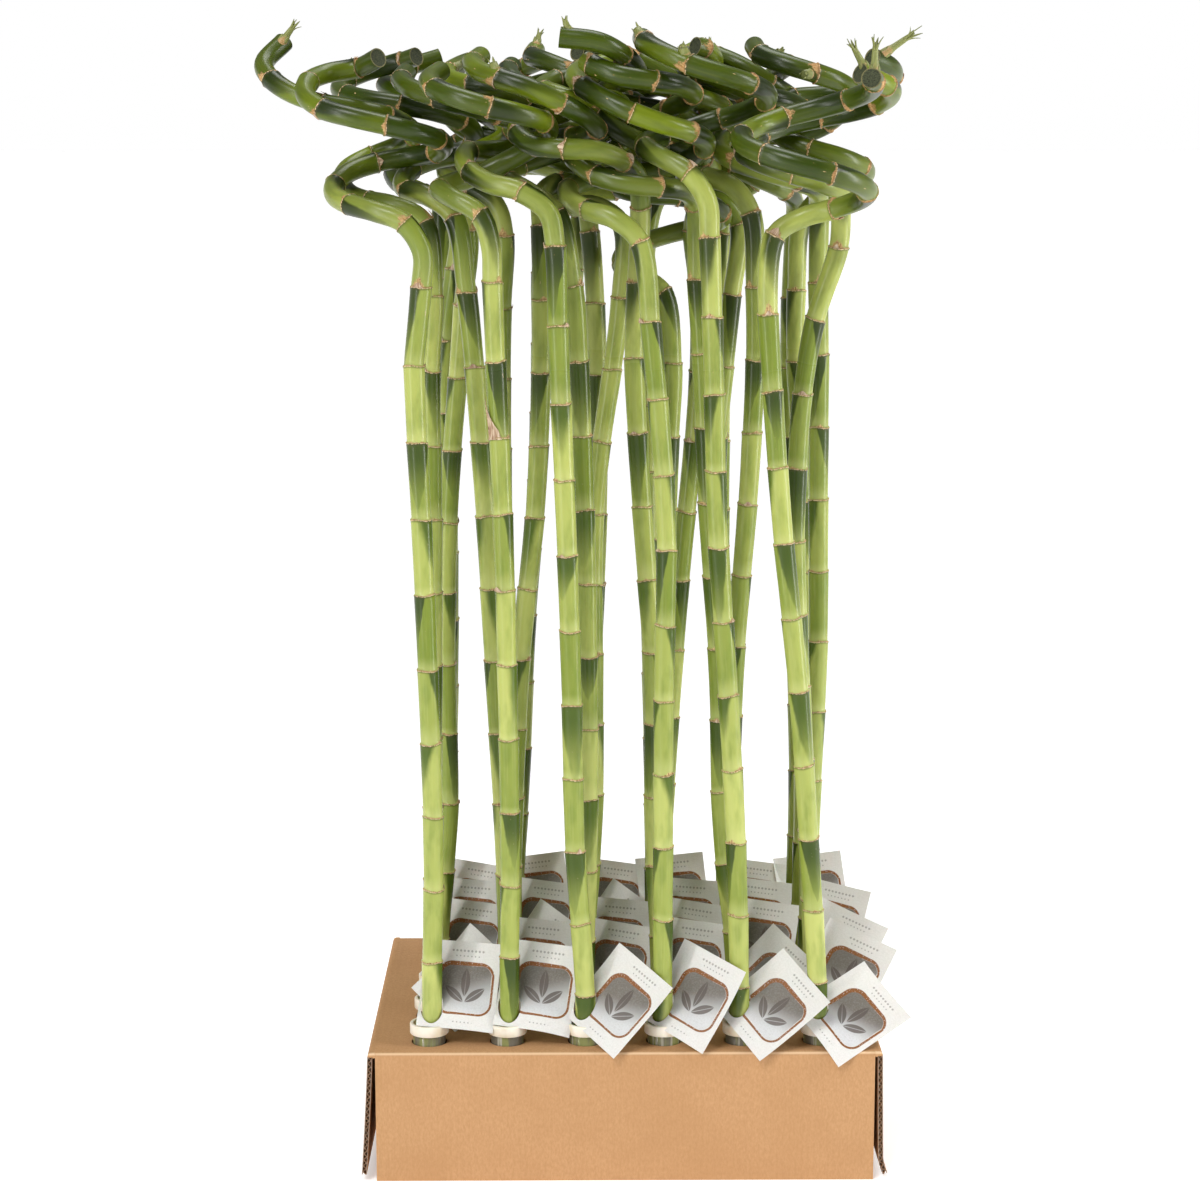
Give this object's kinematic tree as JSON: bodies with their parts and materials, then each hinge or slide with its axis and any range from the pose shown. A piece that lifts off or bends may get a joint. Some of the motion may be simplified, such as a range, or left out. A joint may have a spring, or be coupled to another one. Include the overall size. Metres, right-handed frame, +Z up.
{
  "type": "lucky bamboo",
  "caption": "Lucky bamboo canes with coiled tops, each standing in a capped vial with a hang tag, held upright in a shallow corrugated carton.",
  "frame": {"origin": "middle of the carton's underside", "axes": "+Z up along the canes, +X along the carton's long side to the viewer's right, -Y towards the front"},
  "size_m": [0.402, 0.3022, 0.6931],
  "materials": {
    "board": "plain kraft, matt",
    "stem": "green cane, waxy sheen",
    "vial": "white cap ring over a clear tube, with a paper tag"
  },
  "bodies": {
    "root": {"carton": "board", "cane_r1_c1": "stem", "cane_r1_c2": "stem", "cane_r1_c3": "stem", "cane_r1_c4": "stem", "cane_r1_c5": "stem", "cane_r1_c6": "stem", "cane_r2_c1": "stem", "cane_r2_c2": "stem", "cane_r2_c3": "stem", "cane_r2_c4": "stem", "cane_r2_c5": "stem", "cane_r2_c6": "stem", "cane_r3_c1": "stem", "cane_r3_c2": "stem", "cane_r3_c3": "stem", "cane_r3_c4": "stem", "cane_r3_c5": "stem", "cane_r3_c6": "stem", "cane_r4_c1": "stem", "cane_r4_c2": "stem", "cane_r4_c3": "stem", "cane_r4_c4": "stem", "cane_r4_c5": "stem", "cane_r4_c6": "stem", "cane_r5_c1": "stem", "cane_r5_c2": "stem", "cane_r5_c3": "stem", "cane_r5_c4": "stem", "cane_r5_c5": "stem", "cane_r5_c6": "stem", "vial_r1_c1": "vial", "vial_r1_c2": "vial", "vial_r1_c3": "vial", "vial_r1_c4": "vial", "vial_r1_c5": "vial", "vial_r1_c6": "vial", "vial_r2_c1": "vial", "vial_r2_c2": "vial", "vial_r2_c3": "vial", "vial_r2_c4": "vial", "vial_r2_c5": "vial", "vial_r2_c6": "vial", "vial_r3_c1": "vial", "vial_r3_c2": "vial", "vial_r3_c3": "vial", "vial_r3_c4": "vial", "vial_r3_c5": "vial", "vial_r3_c6": "vial", "vial_r4_c1": "vial", "vial_r4_c2": "vial", "vial_r4_c3": "vial", "vial_r4_c4": "vial", "vial_r4_c5": "vial", "vial_r4_c6": "vial", "vials_r5_c1_c2": "vial", "vials_r5_c3_c4": "vial", "vials_r5_c5_c6": "vial"}
  },
  "joints": []
}
